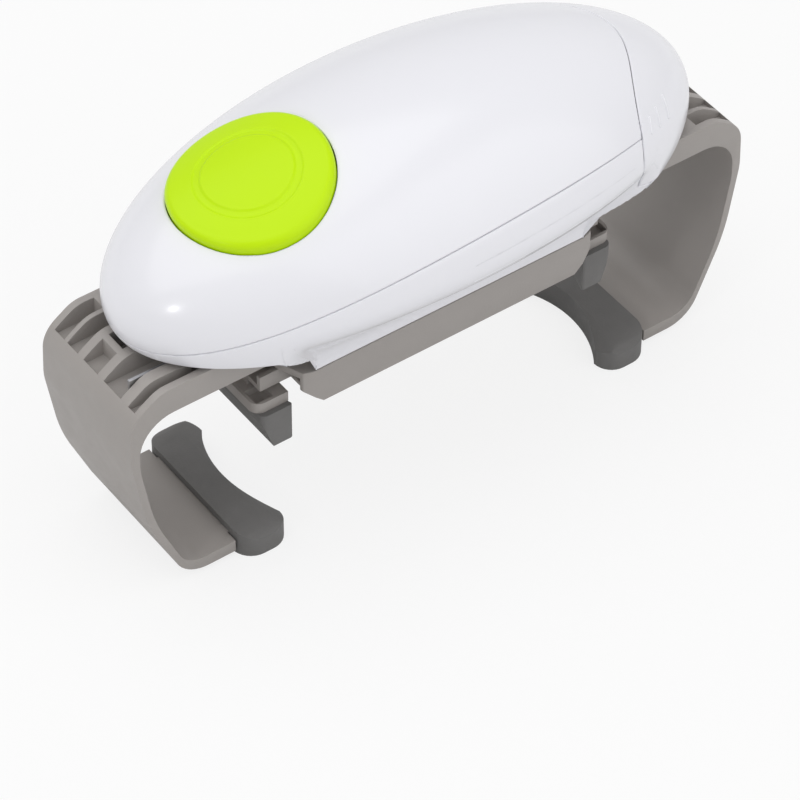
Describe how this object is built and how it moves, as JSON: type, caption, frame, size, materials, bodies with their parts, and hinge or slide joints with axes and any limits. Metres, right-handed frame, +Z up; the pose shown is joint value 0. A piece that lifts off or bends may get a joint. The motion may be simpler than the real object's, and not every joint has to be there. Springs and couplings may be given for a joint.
{
  "type": "electric jar opener",
  "caption": "Electric jar opener: egg-shaped white body with a round push button, sliding padded arms that clamp the jar and a turning carriage with padded jaws for the lid.",
  "frame": {"origin": "on the table under the drive axis, the middle of the bounding box's bottom", "axes": "+X along the body, from the button end to the battery cover end; +Y across the body, to the left when looking along +X; +Z up along the drive axis"},
  "size_m": [0.1862, 0.0796, 0.108],
  "materials": {
    "shell_white": "smooth gloss",
    "button_lime": "smooth gloss",
    "arm_grey": "satin",
    "pad_rubber": "matte",
    "black_plastic": "matte",
    "board_green": "satin solder mask",
    "cell_wrap": "shrink sleeve",
    "contact_metal": "nickel plate",
    "spring_steel": "drawn",
    "screw_steel": "zinc plate",
    "strip_steel": "rolled",
    "motor_steel": "zinc plate",
    "pinion_brass": "machined",
    "nylon": "moulded"
  },
  "bodies": {
    "housing": {"upper_shell": "shell_white", "lower_shell": "shell_white", "button_spring": "spring_steel", "tact_switch": "black_plastic", "control_board": "board_green", "board_screws": "screw_steel", "shell_screws": "screw_steel", "battery_tray": "black_plastic", "cell_front": "cell_wrap", "cell_rear": "cell_wrap", "negative_contact": "contact_metal", "positive_contact": "contact_metal", "tray_screws": "screw_steel", "chassis_plate": "nylon", "chassis_screws": "screw_steel", "gearbox_base": "nylon", "gearbox_cap": "nylon", "base_screws": "screw_steel", "gearbox_screws": "screw_steel", "motor_can": "motor_steel", "motor_screws": "screw_steel", "first_axle": "spring_steel", "second_axle": "spring_steel"},
    "cover": {"battery_cover": "shell_white", "bridge_contact": "contact_metal"},
    "button": {"start_button": "button_lime"},
    "motor_rotor": {"motor_shaft": "spring_steel", "motor_pinion": "pinion_brass"},
    "first_stage": {"first_gear": "nylon"},
    "second_stage": {"second_gear": "nylon"},
    "carriage": {"lid_carriage": "arm_grey", "carriage_plate": "arm_grey", "carriage_screws": "screw_steel", "hub_screw": "screw_steel", "drive_shaft": "spring_steel", "output_gear": "nylon", "shaft_clip": "spring_steel"},
    "arm_drive": {"arm_pinion": "nylon"},
    "jaw_drive": {"lid_pinion": "nylon"},
    "arm_left": {"left_arm": "arm_grey", "left_jar_pad": "pad_rubber", "arm_strips_left": "strip_steel"},
    "arm_right": {"right_arm": "arm_grey", "right_jar_pad": "pad_rubber", "arm_strips_right": "strip_steel"},
    "jaw_left": {"left_jaw": "arm_grey", "left_lid_pad": "pad_rubber"},
    "jaw_right": {"right_jaw": "arm_grey", "right_lid_pad": "pad_rubber"}
  },
  "joints": [
    {"name": "button_press", "type": "slide", "parent": "housing", "child": "button", "axis": [0.2419, 0, -0.9703], "range_m": [0, 0.002], "stiffness_N_per_m": 400, "springref_m": -0.003, "deforming": ["button_spring"]},
    {"name": "cover_slide", "type": "slide", "parent": "housing", "child": "cover", "axis": [1, 0, 0], "range_m": [0, 0.04]},
    {"name": "left_arm_slide", "type": "slide", "parent": "housing", "child": "arm_left", "axis": [1, 0, 0], "range_m": [-0.004, 0.026]},
    {"name": "right_arm_slide", "type": "slide", "parent": "housing", "child": "arm_right", "axis": [-1, 0, 0], "range_m": [-0.004, 0.026]},
    {"name": "arm_pinion_turn", "type": "hinge", "parent": "housing", "child": "arm_drive", "pos_m": [0, 0, 0.0645], "axis": [0, 0, 1], "range_deg": [-190, 32]},
    {"name": "carriage_turn", "type": "hinge", "parent": "housing", "child": "carriage", "pos_m": [0, 0, 0.0525], "axis": [0, 0, 1], "continuous": true},
    {"name": "second_stage_turn", "type": "hinge", "parent": "housing", "child": "second_stage", "pos_m": [-0.0102, 0.01767, 0.0745], "axis": [0, 0, 1], "continuous": true},
    {"name": "first_stage_turn", "type": "hinge", "parent": "housing", "child": "first_stage", "pos_m": [-0.01916, 0.00275, 0.0775], "axis": [0, 0, 1], "continuous": true},
    {"name": "motor_turn", "type": "hinge", "parent": "housing", "child": "motor_rotor", "pos_m": [-0.00771, -0.0044, 0.0785], "axis": [0, 0, 1], "continuous": true},
    {"name": "left_jaw_slide", "type": "slide", "parent": "carriage", "child": "jaw_left", "axis": [1, 0, 0], "range_m": [-0.003, 0.03]},
    {"name": "right_jaw_slide", "type": "slide", "parent": "carriage", "child": "jaw_right", "axis": [-1, 0, 0], "range_m": [-0.003, 0.03]},
    {"name": "lid_pinion_turn", "type": "hinge", "parent": "carriage", "child": "jaw_drive", "pos_m": [0, 0, 0.0475], "axis": [0, 0, 1], "range_deg": [-250, 28]}
  ],
  "couplings": [
    {"joint": "right_arm_slide", "follows": "left_arm_slide", "ratio": 1},
    {"joint": "arm_pinion_turn", "follows": "left_arm_slide", "rad_per_m": -125},
    {"joint": "second_stage_turn", "follows": "carriage_turn", "ratio": -3.6364},
    {"joint": "first_stage_turn", "follows": "carriage_turn", "ratio": 17.455},
    {"joint": "motor_turn", "follows": "carriage_turn", "ratio": -76.8},
    {"joint": "right_jaw_slide", "follows": "left_jaw_slide", "ratio": 1},
    {"joint": "lid_pinion_turn", "follows": "left_jaw_slide", "rad_per_m": -142.86}
  ]
}
